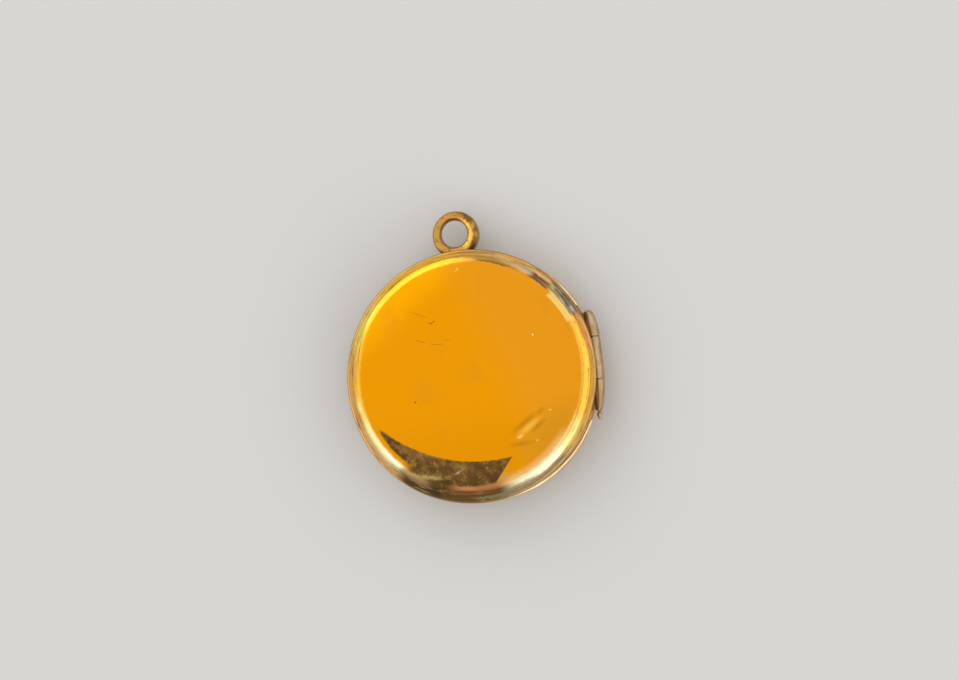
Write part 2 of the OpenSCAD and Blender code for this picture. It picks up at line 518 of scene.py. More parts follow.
def knuckle_line(inner_y, outer_y, inner_round, outer_round):
    """Section of a knuckle along Y from its inner end to its outer end, with both ends eased."""
    side = math.copysign(1, outer_y - inner_y)
    quarter = [math.pi / 2 * i / KNUCKLE_END_STEPS for i in range(KNUCKLE_END_STEPS + 1)]
    line = [(0, inner_y)]
    for a in quarter:
        r = KNUCKLE_R - inner_round * (1 - math.sin(a))
        line.append((r, inner_y + side * inner_round * (1 - math.cos(a))))
    start = inner_y + side * inner_round
    end = outer_y - side * outer_round
    for i in range(1, KNUCKLE_LENGTHS):
        line.append((KNUCKLE_R, start + (end - start) * i / KNUCKLE_LENGTHS))
    for a in quarter:
        r = KNUCKLE_R - outer_round * (1 - math.cos(a))
        line.append((r, outer_y - side * outer_round * (1 - math.sin(a))))
    return line + [(0, outer_y)]


def filed_x(y):
    """How far out the hinge reaches at a place along it, once its outer side is filed to follow the case."""
    drop = FILED_UPPER * max(y - FILED_UPPER_Y, 0) + FILED_LOWER * max(-y, 0)
    return min(math.sqrt(FILED_R**2 - drop**2), HINGE_X + KNUCKLE_R)


def squaring(across):
    """How much taller a softly squared knuckle is than a round one, at a part of its half width.

    It is limited towards the sides, where both run out.
    """
    square = (1 - across**KNUCKLE_SQUARENESS) ** (1 / KNUCKLE_SQUARENESS)
    return min(square / math.sqrt(max(1 - across**2, LEAST_ROUND)), MOST_SQUARING)


def file_to_case(piece):
    """Narrows a knuckle from its outer side, so that it follows the case and keeps a broad top."""
    inner_x = HINGE_X - KNUCKLE_R
    for v in piece.data.vertices:
        x, y, z = v.co
        z = SEAM_Z + (z - SEAM_Z) * squaring(min(abs(x - HINGE_X) / KNUCKLE_R, 1))
        x = inner_x + (x - inner_x) * (filed_x(y) - inner_x) / (2 * KNUCKLE_R)
        reach = math.hypot(x - HINGE_X, z - SEAM_Z)
        keep = min(KNUCKLE_R / reach, 1) if reach else 1
        v.co.x = HINGE_X + (x - HINGE_X) * keep
        v.co.z = SEAM_Z + (z - SEAM_Z) * keep


def knuckle_web(low_y, high_y):
    """The strip of solder that fills the corner between the side band and a knuckle, below the seam."""
    outer_x = HINGE_X - WEB_IN
    rows = []
    for i in range(WEB_STEPS + 1):
        y = low_y + (high_y - low_y) * i / WEB_STEPS
        inner_x = math.sqrt((BAND_R - WEB_SUNK) ** 2 - y**2)
        corners = ((inner_x, WEB_LOW_Z), (outer_x, WEB_LOW_Z), (outer_x, WEB_HIGH_Z), (inner_x, WEB_HIGH_Z))
        rows.append([(x, y, z) for x, z in corners])
    return loft("web", rows)


def outer_knuckle(name, inner_y, outer_y, extra=()):
    """One of the back's knuckles, with the solder that holds it to the side band."""
    tube = along_hinge("tube", knuckle_line(inner_y, outer_y, KNUCKLE_EDGE_R, KNUCKLE_END_R))
    file_to_case(tube)
    web = knuckle_web(*sorted((inner_y * WEB_INNER_END, outer_y * WEB_OUTER_END)))
    return fused(name, [tube, web, *extra], KNUCKLE_VOXEL, KNUCKLE_ROUNDS)


def middle_knuckle():
    """The cover's knuckle, with its solder above it."""
    tube = along_hinge("tube", knuckle_line(MID_LOW_Y, MID_HIGH_Y, KNUCKLE_EDGE_R, KNUCKLE_EDGE_R))
    file_to_case(tube)
    low_y = MID_LOW_Y + MID_SOLDER_SHORT
    high_y = MID_HIGH_Y - MID_SOLDER_SHORT
    solder = rod(MID_SOLDER_R, low_y, high_y, x=MID_SOLDER_X, z=MID_SOLDER_Z, steps=SOLDER_STEPS)
    return fused("middle_knuckle", [tube, solder], KNUCKLE_VOXEL, KNUCKLE_ROUNDS)


def finish_piece(piece, body, node, material):
    """Brings a piece to metres and hands it to the frame, with its creases kept sharp."""
    mesh = piece.data
    mesh.transform(Matrix.Scale(MM, 4))
    mesh.shade_smooth()
    mesh.set_sharp_from_angle(angle=math.radians(SHARP_DEGREES))
    mesh.materials.clear()
    mesh.materials.append(material)
    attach(piece, body)
    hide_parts(node)


class Paint:
    """The node graph of one material, with short ways to add nodes. Places are in millimetres."""

    def __init__(self, name):
        self.material = bpy.data.materials.new(name)
        self.material.use_nodes = True
        self.tree = self.material.node_tree
        self.shader = self.tree.nodes["Principled BSDF"]
        coords = self.tree.nodes.new("ShaderNodeTexCoord")
        self.place = self.vector("SCALE", coords.outputs["Object"], scale=1 / MM)
        self.x, self.y, self.z = self.node("SeparateXYZ", {0: self.place}).outputs
        flat = self.vector("MULTIPLY", self.place, (1, 1, 0))
        self.radius = self.vector("LENGTH", flat)
        self.outwards = self.vector("NORMALIZE", flat)
        self.normal = coords.outputs["Normal"]
        # A place by its direction and its radius, in which streaks along the rim are straight
        round_the_rim = self.vector("SCALE", self.outwards, scale=BEAD_R)
        rise = self.node("CombineXYZ", {"Z": self.radius}).outputs[0]
        self.rim_place = self.vector("ADD", round_the_rim, rise)
        self.turn = self.calc("DEGREES", self.calc("ARCTAN2", self.y, self.x))

    def put(self, socket, value):
        """Links a socket to a node's input, or sets the input to a plain value."""
        if isinstance(value, bpy.types.NodeSocket):
            self.tree.links.new(value, socket)
        elif isinstance(value, tuple) and len(value) == 3 and socket.type == "RGBA":
            socket.default_value = (*value, 1)
        else:
            socket.default_value = value

    def node(self, kind, inputs, **settings):
        """A new node with its settings, and its inputs linked or set by name or number."""
        node = self.tree.nodes.new("ShaderNode" + kind)
        for name, value in settings.items():
            setattr(node, name, value)
        for name, value in inputs.items():
            self.put(node.inputs[name], value)
        return node

    def calc(self, operation, a, b=0.0, c=0.0):
        """One Math node."""
        return self.node("Math", {0: a, 1: b, 2: c}, operation=operation).outputs[0]

    def vector(self, operation, a, b=(0, 0, 0), scale=None):
        """One Vector Math node. Only SCALE takes a scale."""
        inputs = {0: a, 1: b}
        if scale is not None:
            inputs["Scale"] = scale
        node = self.node("VectorMath", inputs, operation=operation)
        return node.outputs["Value" if operation in ("LENGTH", "DOT_PRODUCT") else "Vector"]

    def step(self, value, low, high):
        """0 at low and 1 at high, smoothly; high may be the lower number."""
        inputs = {"Value": value, "From Min": low, "From Max": high}
        return self.node("MapRange", inputs, interpolation_type="SMOOTHSTEP").outputs[0]

    def noise(self, size, detail=4.0, roughness=0.55, stretch=(1, 1, 1), seed=0.0, place=None):
        """Cloudy noise from 0 to 1 whose main features are about size across."""
        spread = tuple(1 / (size * s) for s in stretch)
        vector = self.vector("MULTIPLY", place or self.place, spread)
        inputs = {"Vector": vector, "W": seed, "Scale": 1, "Detail": detail, "Roughness": roughness}
        return self.node("TexNoise", inputs, noise_dimensions="4D").outputs["Fac"]

    def mix(self, mask, a, b):
        """Colour a where mask is 0 and b where it is 1."""
        return self.node("Mix", {"Factor": mask, "A": a, "B": b}, data_type="RGBA").outputs["Result"]

    def tint(self, colour, over, mask, strength=1.0):
        """A colour with another laid over it where mask is 1, at a strength."""
        if strength != 1.0:
            mask = self.calc("MULTIPLY", mask, strength)
        return self.mix(mask, colour, over)

    def lerp(self, mask, a, b):
        """Number a where mask is 0 and b where it is 1."""
        return self.calc("MULTIPLY_ADD", mask, self.calc("SUBTRACT", b, a), a)

    def both(self, *masks):
        """The product of masks."""
        product = masks[0]
        for mask in masks[1:]:
            product = self.calc("MULTIPLY", product, mask)
        return product

    def band(self, value, low, high, soft):
        """1 where a value is between low and high, with soft edges."""
        above = self.step(value, low - soft, low + soft)
        return self.both(above, self.step(value, high + soft, high - soft))

    def past(self, middle):
        """Degrees past a direction in the picture, seen from the case's axis."""
        return self.calc("WRAP", self.calc("SUBTRACT", self.turn, middle - TURN), 180, -180)

    def sector(self, middle, half, soft):
        """1 within half degrees of a direction in the picture, seen from the case's axis."""
        away = self.calc("ABSOLUTE", self.past(middle))
        return self.step(away, half + soft, half - soft)

    def distance_from(self, x, y):
        """How far a place is from x and y, seen from straight above."""
        shift = self.vector("SUBTRACT", self.place, (x, y, 0))
        return self.vector("LENGTH", self.vector("MULTIPLY", shift, (1, 1, 0)))

    def oval(self, x, y, angle, half_length, half_width, soft):
        """1 in the middle of an oval on the face, fading to its edge from a part soft of the way out."""
        a = math.radians(angle)
        to_end = (math.cos(a) / half_length, math.sin(a) / half_length, 0)
        to_side = (-math.sin(a) / half_width, math.cos(a) / half_width, 0)
        shift = self.vector("SUBTRACT", self.place, (x, y, 0))
        lengthwise = self.vector("DOT_PRODUCT", shift, to_end)
        across = self.vector("DOT_PRODUCT", shift, to_side)
        across_squared = self.calc("MULTIPLY", across, across)
        reach = self.calc("SQRT", self.calc("MULTIPLY_ADD", lengthwise, lengthwise, across_squared))
        return self.step(reach, 1.0, soft)

    def inside(self, side):
        """1 on the inside of a half of the case. side is 1 on the cover and -1 on the back."""
        away = self.vector("ADD", self.outwards, (0, 0, side))
        facing = self.vector("DOT_PRODUCT", self.normal, away)
        inwards = self.step(facing, 0.02, -0.02)
        return self.both(inwards, self.step(self.radius, BAND_R, BAND_R - EDGE_R))

    def bump(self, height, depth, under=None):
        """A bump whose height runs from 0 to 1 over a depth in millimetres."""
        inputs = {"Distance": depth * MM, "Height": height}
        if under:
            inputs["Normal"] = under
        return self.node("Bump", inputs).outputs[0]

    def finish(self, colour, roughness, normal):
        """Connects the shader of a metal."""
        inputs = {"Metallic": 1, "Base Color": colour, "Roughness": roughness, "Normal": normal}
        for name, value in inputs.items():
            self.put(self.shader.inputs[name], value)
        return self.material


# Colours of the metal, as linear red, green and blue
FACE_GOLD = (0.76, 0.288, 0.0015)
LOW_GOLD = (0.7, 0.26, 0.0015)
HIGHLIGHT_GOLD = (0.9, 0.375, 0.0015)
HAZY_GOLD = (0.73, 0.28, 0.01)
DULL_GOLD = (0.6, 0.25, 0.011)
HONEY_GOLD = (0.87, 0.44, 0.04)
HIGHLIGHT_SUN_GOLD = (1.0, 0.56, 0.03)
HIGHLIGHT_LEMON_GOLD = (1.0, 0.82, 0.14)
RIM_GOLD = (0.92, 0.46, 0.06)
TAN_GOLD = (0.84, 0.45, 0.13)
CREAM_GOLD = (0.88, 0.64, 0.26)
ORANGE_GOLD = (1.0, 0.5, 0.06)
PINK_GOLD = (1.0, 0.42, 0.17)
PALE_GOLD = (0.98, 0.66, 0.27)
HIGHLIGHT_WHITE = (0.8, 0.76, 0.48)
BAR_REFLECTION_GOLD = (0.85, 0.57, 0.16)
SILVER = (0.27, 0.25, 0.155)
DULL_SILVER = (0.36, 0.29, 0.17)
LAVENDER = (0.65, 0.5, 0.34)
COPPER = (0.38, 0.15, 0.055)
BROWN = (0.11, 0.058, 0.018)
UMBER = (0.085, 0.045, 0.015)
OLIVE = (0.22, 0.12, 0.03)
DENT_SHADE_OLIVE = (0.44, 0.19, 0.005)
DARK = (0.065, 0.037, 0.014)
SHADE_AND_GRIME = (0.045, 0.026, 0.011)
TARNISH = (0.2, 0.12, 0.05)
FLECK_TAN = (0.34, 0.2, 0.06)
STREAK_OLIVE = (0.4, 0.3, 0.1)
NOSE_SHADE = (0.4, 0.24, 0.09)
INSIDE_GOLD = (0.76, 0.39, 0.07)
INSIDE_DULL = (0.7, 0.345, 0.052)
BEAD_HIGHLIGHT_CREAM = (0.9, 0.72, 0.44)
RING_GOLD = (0.5, 0.28, 0.06)
RING_ORANGE = (0.62, 0.28, 0.06)
RING_HIGHLIGHT = (0.9, 0.54, 0.08)
RING_SHADE = (0.22, 0.12, 0.035)
RING_EDGE_HIGHLIGHT = (0.6, 0.4, 0.22)
RING_HOLE_SHADE = (0.42, 0.33, 0.25)
KNUCKLE_BROWN = (0.42, 0.28, 0.13)
KNUCKLE_TAN = (0.54, 0.41, 0.24)
KNUCKLE_HIGHLIGHT = (0.95, 0.7, 0.48)
PIN_DARK = (0.5, 0.48, 0.45)
PIN_LIGHT = (0.68, 0.66, 0.62)

# Worn patches round the cover's rim, among them painted highlights and painted dark reflections, in the
# order they are laid:
# direction and half width in the picture's degrees, radii, how soft the edges are along and across the rim,
# colour, how much it covers, and roughness
PATCH_COLUMNS = ("middle", "half", "low_r", "high_r", "soft_turn", "soft_r", "colour", "cover", "roughness")
RIM_PATCHES_AND_REFLECTIONS = (
    # Painted highlights: the bright gold at the upper left
    (128, 30, 11.15, 12.7, 10, 0.15, HIGHLIGHT_SUN_GOLD, 0.95, 0.2),
    (154, 14, 11.45, 12.1, 8, 0.15, HIGHLIGHT_LEMON_GOLD, 1.0, 0.2),
    (128, 34, 12.35, 12.8, 8, 0.06, (0.6, 0.36, 0.08), 0.85, 0.3),
    (180, 18, 10.95, 11.4, 8, 0.15, HONEY_GOLD, 0.95, 0.2),
    (204, 10, 10.95, 11.9, 6, 0.15, (0.72, 0.43, 0.08), 0.9, 0.25),
    # Painted highlights: the cream and near-white at the lower left
    (195, 3, 11.3, 11.75, 3, 0.1, CREAM_GOLD, 1.0, 0.25),
    (219, 16, 11.0, 11.95, 6, 0.15, CREAM_GOLD, 1.0, 0.3),
    (227, 8, 11.0, 11.85, 6, 0.2, HIGHLIGHT_WHITE, 0.9, 0.3),
    (218, 18, 12.05, 12.8, 5, 0.08, TAN_GOLD, 0.9, 0.3),
    # Painted dark reflection along the bottom of the rim: the brown and dark rows, with copper and silver
    # wear among them
    (249, 13, 10.4, 11.4, 4, 0.15, BROWN, 0.96, 0.4),
    (247, 12, 11.3, 12.75, 4, 0.15, DARK, 0.96, 0.4),
    (243, 7, 11.15, 11.85, 4, 0.15, (0.42, 0.25, 0.11), 0.9, 0.35),
    (277, 15, 10.55, 10.95, 5, 0.15, BROWN, 0.8, 0.35),
    (258, 8, 10.7, 11.5, 4, 0.12, BROWN, 0.9, 0.35),
    (276, 14, 10.75, 11.5, 5, 0.12, COPPER, 0.95, 0.3),
    (270, 5, 11.0, 11.25, 4, 0.1, (0.55, 0.2, 0.1), 0.8, 0.3),
    (274, 18, 11.4, 12.75, 5, 0.12, BROWN, 0.9, 0.4),
    (270, 9, 11.55, 11.75, 4, 0.06, COPPER, 0.9, 0.35),
    (281, 8, 11.95, 12.2, 4, 0.06, DULL_SILVER, 0.8, 0.35),
    (288, 6, 10.35, 10.8, 5, 0.15, (0.54, 0.285, 0.08), 0.8, 0.25),
    # Painted highlight: the near-white at the lower right, with its tan inner edge
    (309, 20, 10.7, 11.3, 6, 0.3, (0.8, 0.42, 0.12), 0.9, 0.25),
    (309, 18, 11.2, 12.05, 6, 0.2, HIGHLIGHT_WHITE, 1.0, 0.28),
    (297, 8, 11.7, 12.0, 5, 0.1, DULL_SILVER, 0.8, 0.3),
    (304, 20, 12.05, 12.8, 5, 0.08, DULL_SILVER, 0.9, 0.3),
    (331, 9, 11.2, 12.2, 5, 0.12, (0.98, 0.7, 0.22), 0.9, 0.22),
    # Painted reflections: the face's orange and a pink stripe carried onto the rim at the right
    (3, 24, 11.3, 12.15, 6, 0.12, ORANGE_GOLD, 0.95, 0.2),
    (21, 9, 12.05, 12.4, 3, 0.05, PINK_GOLD, 1.0, 0.22),
    (39, 9, 11.65, 12.45, 1.5, 0.05, SILVER, 0.95, 0.3),
    (43, 16, 12.35, 12.8, 3, 0.05, (0.2, 0.14, 0.08), 0.95, 0.35),
    (32.5, 1.5, 11.95, 12.2, 1, 0.06, (0.7, 0.76, 0.74), 0.95, 0.25),
    (46, 1.3, 11.9, 12.15, 1, 0.06, (1.0, 0.78, 0.26), 1.0, 0.22),
    (41, 4, 11.95, 12.1, 3, 0.05, (0.11, 0.11, 0.07), 0.8, 0.3),
    (38, 2, 11.75, 11.85, 1, 0.04, (0.5, 0.47, 0.33), 0.9, 0.3),
    (42, 1, 12.15, 12.25, 1, 0.04, (0.55, 0.5, 0.34), 0.9, 0.3),
    (53, 6, 11.4, 12.0, 2, 0.06, (0.15, 0.075, 0.038), 0.94, 0.35),
    (51, 3, 11.6, 11.72, 2, 0.05, (0.4, 0.22, 0.11), 0.8, 0.3),
    (55, 7, 12.0, 12.25, 2, 0.05, PALE_GOLD, 0.9, 0.25),
    (62, 4.5, 11.55, 12.1, 2, 0.08, LAVENDER, 0.9, 0.25),
    (70, 6, 11.65, 12.0, 3, 0.06, PALE_GOLD, 0.9, 0.25),
    (78, 9, 11.3, 11.5, 4, 0.05, OLIVE, 0.8, 0.3),
    (77, 8, 11.95, 12.25, 4, 0.06, PALE_GOLD, 0.8, 0.25),
    (86, 8, 12.1, 12.7, 4, 0.06, (0.6, 0.33, 0.1), 0.8, 0.3),
)

# Bands along the rim whose radii shrink by the slant with each degree past their middle
# The bar is a painted reflection of a bright slanted shape at the upper right of the rim
BAR_REFLECTION = dict(middle=36.2, half=8.5, soft_turn=0.8, low_r=11.06, high_r=11.64, slant=0.006, soft_r=0.04)
LEFT_DARK_LINE = dict(middle=164, half=12, soft_turn=4, low_r=11.36, high_r=11.43, slant=0.018, soft_r=0.04)
PALE_STREAK = dict(middle=245, half=11, soft_turn=5, low_r=10.75, high_r=11.15, slant=0.05, soft_r=0.16)

# The tarnished crescent, partly a painted dark reflection: inside its outer radius, outside a wide arc and
# short of a slanted end. Its outer edge draws in from left to right, and its border is darker.
CRESCENT_ARC_X = 1.45
CRESCENT_ARC_Y = 6.9
CRESCENT_ARC_R = 15.47
CRESCENT_OUTER_R = 10.5
CRESCENT_LEFT_X = -7.4
CRESCENT_RIGHT_X = -5.0
CRESCENT_DRAWN_IN = 0.35
CRESCENT_BORDER_W = 0.9
CRESCENT_END_X = 2.6
CRESCENT_END_Y = -9.4
CRESCENT_END_TURN = 40.0
CRESCENT_TOP_Y = -4.0

# Scratches and specks on the face, a painted glint in a pit, its soft dent's painted sheen and glints, and
# painted shade round that
MARK_COLUMNS = ("x", "y", "angle", "half_length", "half_width", "strength", "colour", "soft")
FACE_MARKS = (
    (-2.72, 5.72, 32, 0.26, 0.07, 0.9, BROWN, 0.2),
    (-3.05, 5.6, -20, 0.3, 0.08, 0.9, BROWN, 0.2),
    (-3.0, 5.45, 5, 0.24, 0.06, 0.7, COPPER, 0.2),
    (-4.4, 6.72, -24, 1.2, 0.06, 0.45, BROWN, 0.2),
    (-3.6, 6.25, 10, 0.5, 0.04, 0.4, BROWN, 0.2),
    (-4.3, 3.95, -20, 0.9, 0.06, 0.55, BROWN, 0.2),
    (-2.6, 3.4, -12, 1.1, 0.06, 0.45, BROWN, 0.2),
    (-1.6, 3.75, -4, 0.8, 0.04, 0.3, BROWN, 0.2),
    (-5.54, -1.94, 60, 0.2, 0.12, 0.8, BROWN, 0.2),
    (-5.4, -1.8, -20, 0.14, 0.06, 0.5, COPPER, 0.2),
    # A painted glint in a small pit
    (6.92, 3.08, 80, 0.14, 0.1, 1.0, (1.0, 0.9, 0.6), 0.2),
    (0.15, 10.5, 60, 0.3, 0.06, 0.8, CREAM_GOLD, 0.2),
    (0.3, 10.55, -50, 0.2, 0.06, 0.8, CREAM_GOLD, 0.2),
    (2.14, 8.4, 83, 2.4, 0.12, 0.35, DULL_GOLD, 0.0),
    # Painted shade along the dent's sides
    (5.03, -5.36, 32, 2.3, 0.5, 0.75, DENT_SHADE_OLIVE, 0.0),
    (6.34, -5.75, 35, 1.3, 0.42, 0.75, DENT_SHADE_OLIVE, 0.0),
    (4.4, -7.35, 2, 1.9, 0.36, 0.75, DENT_SHADE_OLIVE, 0.0),
    (6.75, -4.4, 50, 0.7, 0.4, 0.6, DENT_SHADE_OLIVE, 0.0),
    # The dent's painted sheen, and painted glints at its ends
    (5.4, -5.8, 33, 2.1, 0.5, 0.95, (0.8, 0.42, 0.04), 0.1),
    (4.43, -6.65, 25, 0.5, 0.26, 0.9, (0.9, 0.52, 0.12), 0.1),
    (7.7, -4.43, -10, 0.24, 0.1, 0.7, (0.95, 0.6, 0.2), 0.1),
    (6.05, -7.2, 40, 0.2, 0.1, 0.7, (0.95, 0.6, 0.2), 0.1),
    # Painted shade below the dent
    (7.6, -8.0, 35, 1.6, 0.4, 0.5, DENT_SHADE_OLIVE, 0.0),
)

# Dark and light clouds in the crescent, with the same columns
CRESCENT_CLOUDS = (
    (-4.3, -8.8, -17, 2.0, 0.8, 0.85, DARK, 0.1),
    (-0.7, -10.0, 0, 1.3, 0.6, 0.8, DARK, 0.1),
    (-2.0, -8.7, -10, 1.1, 0.6, 0.7, (0.27, 0.17, 0.035), 0.0),
    (-2.2, -9.35, 25, 0.5, 0.2, 0.8, (0.5, 0.34, 0.18), 0.0),
    (-5.9, -7.2, -40, 1.1, 0.5, 0.5, (0.26, 0.15, 0.05), 0.0),
)

# Painted shade at the face's lower right: an oval's middle, angle, half length, half width and softness
SHADED_CORNER = (8.0, -6.5, 40, 6.0, 3.4, 0.0)

# How far the fine scratches stretch along X and Y, and the seed of each set
SCRATCH_SETS = (
    (0.05, 1.6, 7.0),
    (1.4, 0.06, 8.0),
    (0.09, 0.9, 9.0),
)
SCRATCH_DEPTH = 0.0006
HAIR_STRENGTH = 0.3

# The streaks that run along the rims: size, how far they stretch that way, and depth
STREAK_SIZE = 0.12
STREAK_STRETCH = (14, 14, 1)
STREAK_DEPTH = 0.004


def add_marks(paint, colour, rows):
    """Draws oval marks over a colour, one for each row."""
    for mark in named_rows(MARK_COLUMNS, rows):
        size = (mark["half_length"], mark["half_width"])
        shape = paint.oval(mark["x"], mark["y"], mark["angle"], *size, mark["soft"])
        colour = paint.tint(colour, mark["colour"], shape, mark["strength"])
    return colour


def slanted_band(paint, middle, half, soft_turn, low_r, high_r, slant, soft_r, ragged=0.0):
    """The mask of a slanted band along the rim, frayed where ragged says."""
    frayed = paint.calc("MULTIPLY_ADD", ragged, 3.0, paint.radius)
    level = paint.calc("MULTIPLY_ADD", paint.past(middle), slant, frayed)
    return paint.both(paint.sector(middle, half, soft_turn), paint.band(level, low_r, high_r, soft_r))


def crescent(paint, ragged):
    """The mask of the tarnished crescent, partly a painted dark reflection, and that of its darkened outer
    border.
    """
    reach = paint.distance_from(CRESCENT_ARC_X, CRESCENT_ARC_Y)
    outside = paint.step(paint.calc("ADD", reach, ragged), CRESCENT_ARC_R - 0.08, CRESCENT_ARC_R + 0.1)
    edge = paint.calc("MULTIPLY_ADD", ragged, 2.0, paint.radius)
    rightwards = paint.step(paint.x, CRESCENT_LEFT_X, CRESCENT_RIGHT_X)
    edge = paint.calc("SUBTRACT", edge, paint.calc("MULTIPLY", rightwards, CRESCENT_DRAWN_IN))
    inside = paint.step(edge, CRESCENT_OUTER_R + 0.15, CRESCENT_OUTER_R - 0.1)
    a = math.radians(CRESCENT_END_TURN)
    along_x = paint.calc("MULTIPLY", paint.calc("SUBTRACT", paint.x, CRESCENT_END_X), math.cos(a))
    along_y = paint.calc("MULTIPLY", paint.calc("SUBTRACT", paint.y, CRESCENT_END_Y), -math.sin(a))
    short = paint.step(paint.calc("ADD", along_x, along_y), 0.08, -0.08)
    below = paint.step(paint.y, CRESCENT_TOP_Y, CRESCENT_TOP_Y - 0.5)
    border = paint.step(edge, CRESCENT_OUTER_R - CRESCENT_BORDER_W, CRESCENT_OUTER_R - 0.2)
    return paint.both(outside, inside, short, below), border


def crescent_brown(paint, border):
    """The crescent's mottled brown: darker at its border and low down, with clouds and flecks."""
    mottle = paint.noise(0.95, 7, 0.7, seed=9.0)
    colour = paint.mix(paint.step(mottle, 0.42, 0.62), UMBER, OLIVE)
    colour = paint.tint(colour, DARK, paint.both(border, paint.step(mottle, 0.58, 0.44)))
    low = paint.both(paint.step(paint.x, -5.0, 0.5), paint.step(paint.y, -7.6, -8.9))
    colour = paint.tint(colour, DARK, low, 0.5)
    colour = add_marks(paint, colour, CRESCENT_CLOUDS)
    flecks = paint.noise(0.65, 6, 0.72, seed=9.5)
    colour = paint.tint(colour, FLECK_TAN, paint.step(flecks, 0.52, 0.7), 0.85)
    return paint.tint(colour, DARK, paint.step(flecks, 0.44, 0.32), 0.7)


def micro_scratches(paint):
    """The bump of fine scratches, their mask, and the cloud whose high parts are rubbed."""
    rubbed = paint.noise(2.6, 5, 0.6, seed=3.1)
    worn = paint.step(rubbed, 0.42, 0.62)
    normal = None
    hairs = None
    for along_x, along_y, seed in SCRATCH_SETS:
        lines = paint.noise(1.0, 2, 0.5, (along_x, along_y, 1), seed)
        hair = paint.both(paint.step(lines, 0.64, 0.74), worn)
        normal = paint.bump(hair, SCRATCH_DEPTH, normal)
        hairs = paint.calc("MAXIMUM", hairs, hair) if hairs else hair
    return normal, hairs, rubbed


def add_band_shade_and_grime(paint, colour, roughness, fine):
    """Draws painted shade on the recessed side band and dark grime in the seam, thinner by the hinge and in
    places.
    """
    rise = paint.calc("ABSOLUTE", paint.calc("SUBTRACT", paint.z, SEAM_Z))
    height_off_seam = paint.calc("ADD", rise, paint.calc("MULTIPLY_ADD", fine, 0.8, -0.4))
    outside = paint.step(paint.radius, BAND_R - 0.2, BAND_R - 0.1)
    recess = paint.step(paint.radius, BAND_R + 0.12, BAND_R + 0.03)
    shaded_band = paint.both(outside, recess, paint.step(height_off_seam, 1.6, 0.7))
    wander = paint.noise(1.2, 4, 0.6, seed=12.0)
    along = paint.calc("MULTIPLY_ADD", wander, 2.4, paint.calc("ABSOLUTE", paint.y))
    by_hinge = paint.both(paint.step(along, 6.4, 4.6), paint.step(paint.x, 10.0, 11.0))
    thin = paint.calc("MAXIMUM", by_hinge, paint.step(wander, 0.5, 0.72))
    # Painted shade on the recessed band and dark grime in the seam, lighter by the hinge
    colour = paint.mix(shaded_band, colour, paint.mix(thin, SHADE_AND_GRIME, TARNISH))
    return colour, paint.lerp(shaded_band, roughness, 0.5)


def add_inside(paint, colour, roughness, side):
    """Draws the plain gold of a half's inside, dull and cloudy, over what its outside has."""
    cloud = paint.noise(3.0, 5, 0.6, seed=13.0)
    spots = paint.noise(0.7, 4, 0.6, seed=14.0)
    plain = paint.mix(paint.step(cloud, 0.3, 0.7), INSIDE_GOLD, INSIDE_DULL)
    plain = paint.tint(plain, TARNISH, paint.step(spots, 0.62, 0.76), 0.3)
    corner = paint.step(paint.calc("MULTIPLY_ADD", cloud, 0.8, paint.radius), 11.2, 12.0)
    plain = paint.tint(plain, TARNISH, corner, 0.45)
    inside = paint.inside(side)
    return paint.mix(inside, colour, plain), paint.lerp(inside, roughness, paint.lerp(cloud, 0.2, 0.32))


def face_colour(paint):
    """The warm gold of the face: brighter towards its upper left edge as a painted highlight, hazy to the
    right, with painted shade at its lower right, and duller below.
    """
    cloud = paint.noise(4.0, 4, 0.55, seed=1.0)
    to_upper_left = paint.calc("MULTIPLY_ADD", paint.x, -0.55, paint.calc("MULTIPLY", paint.y, 0.83))
    to_upper_left = paint.calc("MULTIPLY_ADD", cloud, 2.0, to_upper_left)
    to_right = paint.calc("MULTIPLY_ADD", cloud, 3.0, paint.calc("MULTIPLY_ADD", paint.y, 0.35, paint.x))
    low = paint.step(paint.calc("MULTIPLY_ADD", cloud, 3.0, paint.y), 0.0, -8.0)
    dull = paint.oval(*SHADED_CORNER)
    colour = paint.mix(low, FACE_GOLD, LOW_GOLD)
    # Painted highlight towards the upper left edge
    colour = paint.tint(colour, HIGHLIGHT_GOLD, paint.step(to_upper_left, 8.0, 11.8))
    colour = paint.tint(colour, HAZY_GOLD, paint.step(to_right, 2.0, 8.0), 0.9)
    # Painted shade at the lower right
    colour = paint.tint(colour, DULL_GOLD, dull, 0.85)
    colour = paint.tint(colour, DULL_GOLD, paint.step(cloud, 0.5, 0.75), 0.4)
    grain = paint.step(paint.noise(0.16, 3, 0.6, seed=1.7), 0.6, 0.78)
    return paint.tint(colour, HONEY_GOLD, grain, 0.3)


def rim_streaks(paint, seed):
    """Fine streaks along the rim, from 0 to 1."""
    return paint.noise(STREAK_SIZE, 4, 0.6, STREAK_STRETCH, seed, paint.rim_place)


def add_patches(paint, colour, roughness, streaks):
    """Draws the rim's worn patches, painted highlights and painted dark reflections over a colour and
    roughness, broken into streaks along the rim.
    """
    fray = paint.noise(0.45, 5, 0.65, seed=5.0)
    level = paint.calc("MULTIPLY_ADD", fray, 0.35, paint.calc("ADD", paint.radius, -0.175))
    worn = paint.step(streaks, 0.2, 0.5)
    for patch in named_rows(PATCH_COLUMNS, RIM_PATCHES_AND_REFLECTIONS):
        across = paint.band(level, patch["low_r"], patch["high_r"], patch["soft_r"])
        along = paint.sector(patch["middle"], patch["half"], patch["soft_turn"])
        mask = paint.both(across, along, paint.lerp(worn, patch["cover"] * 0.7, patch["cover"]))
        colour = paint.tint(colour, patch["colour"], mask)
        roughness = paint.lerp(mask, roughness, patch["roughness"])
    return colour, roughness


